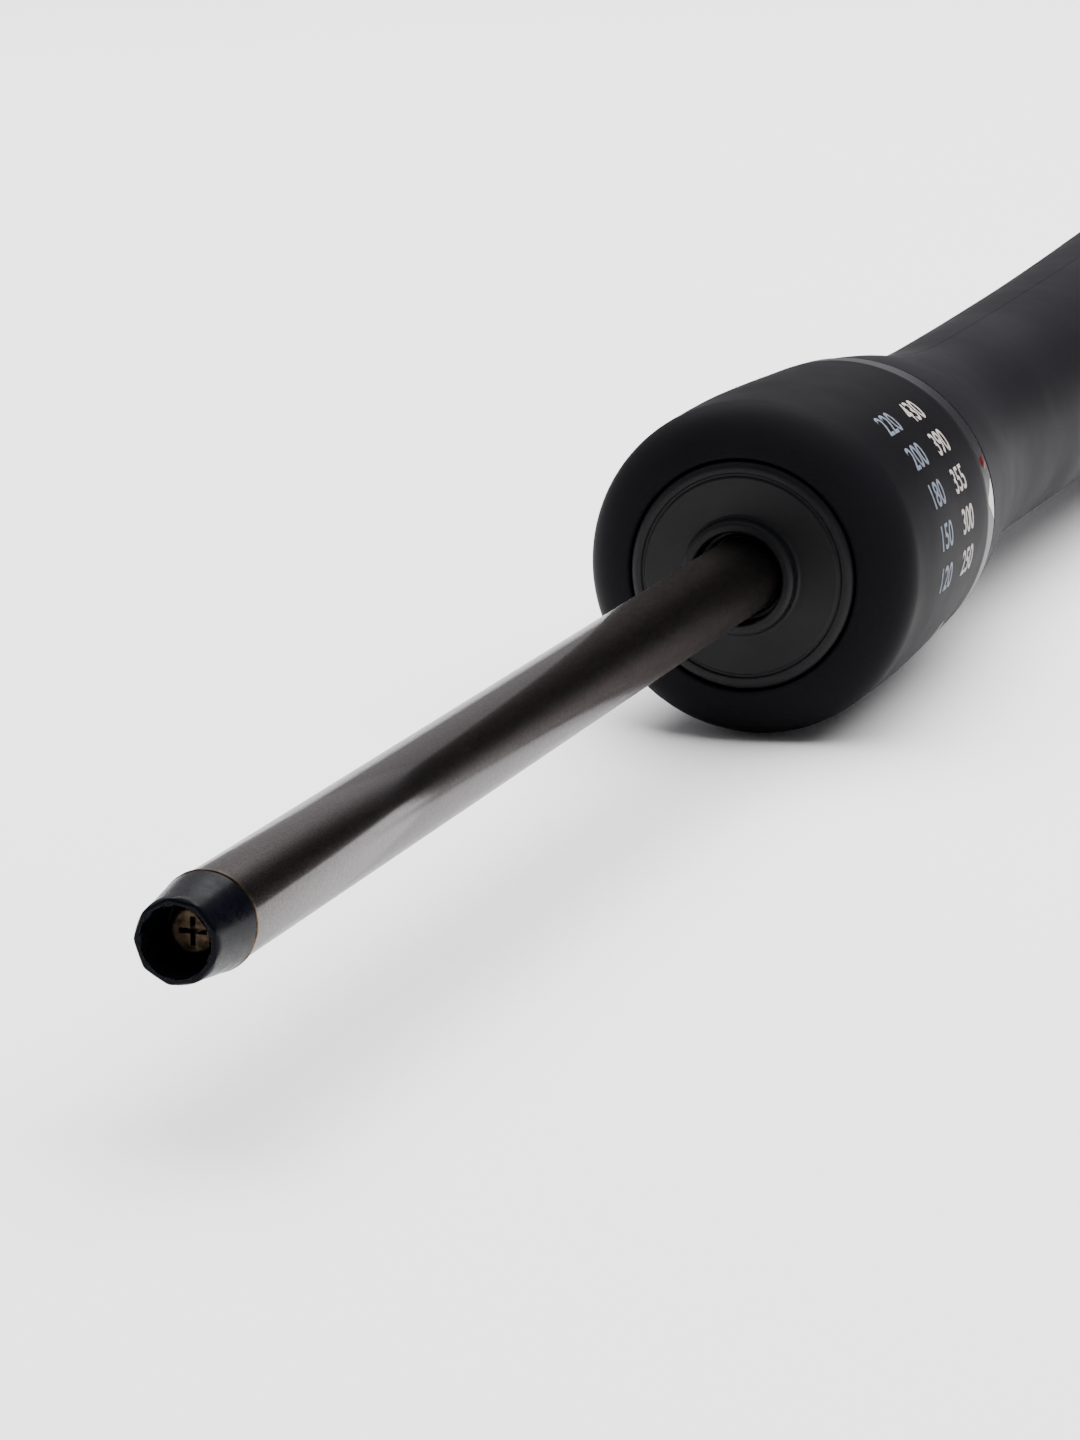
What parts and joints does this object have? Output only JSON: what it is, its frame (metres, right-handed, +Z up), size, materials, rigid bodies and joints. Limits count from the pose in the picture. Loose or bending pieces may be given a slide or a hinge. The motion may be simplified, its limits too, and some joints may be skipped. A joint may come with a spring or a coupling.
{
  "type": "hair curling wand",
  "caption": "Thin-barrel hair curling wand: heated tube with a cool tip, bulb-shaped turning temperature dial, waisted round handle and a swivelling cord outlet.",
  "frame": {"origin": "on the wand's axis, in the plane of the head's flat front face, where the barrel comes out", "axes": "+X along the barrel towards the tip, +Z up with the wand lying level, the indicator on the +Y side"},
  "size_m": [0.4276, 0.0398, 0.0398],
  "materials": {
    "soft_touch": "soft-touch charcoal coating",
    "satin_black": "satin moulded black",
    "cool_tip": "glossy blue-black moulded plastic",
    "dark_metal": "dark brown metal",
    "barrel_coating": "glossy gun-metal ceramic coating with fine sparkle",
    "steel": "plain",
    "brass": "plain",
    "aluminium": "drawn",
    "ceramic": "fired ceramic",
    "wire": "silicone insulated wire",
    "brown_resin": "heat-resistant resin",
    "inner_plastic": "moulded",
    "board": "circuit board",
    "terminal": "moulded",
    "component_black": "moulded",
    "component_box": "moulded",
    "led_red": "tinted clear"
  },
  "bodies": {
    "handle": {"tip_cap": "cool_tip", "tip_washer": "dark_metal", "tip_plug": "steel", "tip_screw": "steel", "barrel_tube": "barrel_coating", "heater_strip": "ceramic", "heater_clamp_upper": "aluminium", "heater_clamp_lower": "aluminium", "lead_insulator": "ceramic", "heater_leads": "wire", "thermistor": "wire", "front_plate": "satin_black", "barrel_holder": "brown_resin", "barrel_clip": "steel", "spindle": "inner_plastic", "plate_screws": "steel", "detent_ball": "steel", "detent_spring": "steel", "track_board": "board", "neck_collar": "satin_black", "indicator_led": "led_red", "led_lens": "led_red", "handle_left": "soft_touch", "handle_right": "soft_touch", "handle_screws": "steel", "circuit_board": "board", "terminal_blocks": "terminal", "control_chip": "component_black", "capacitor": "component_box", "triac": "component_black", "thermal_fuse": "steel", "resistors": "component_box", "mains_leads": "wire", "brush_mount": "inner_plastic", "contact_brushes": "brass", "thrust_ring": "inner_plastic", "end_cap": "soft_touch"},
    "dial": {"dial_shell": "soft_touch", "detent_ring": "inner_plastic", "wiper_ring": "inner_plastic", "wiper_contacts": "brass", "dial_bearing": "inner_plastic"},
    "cord_outlet": {"swivel_gland": "satin_black", "contact_pin": "brass", "pin_insulator": "inner_plastic", "contact_ring": "brass"}
  },
  "joints": [
    {"name": "dial_turn", "type": "hinge", "parent": "handle", "child": "dial", "pos_m": [-0.02, 0, 0], "axis": [1, 0, 0], "range_deg": [-44.1, 44.1]},
    {"name": "cord_swivel", "type": "hinge", "parent": "handle", "child": "cord_outlet", "pos_m": [-0.232, 0, 0], "axis": [1, 0, 0], "continuous": true}
  ]
}
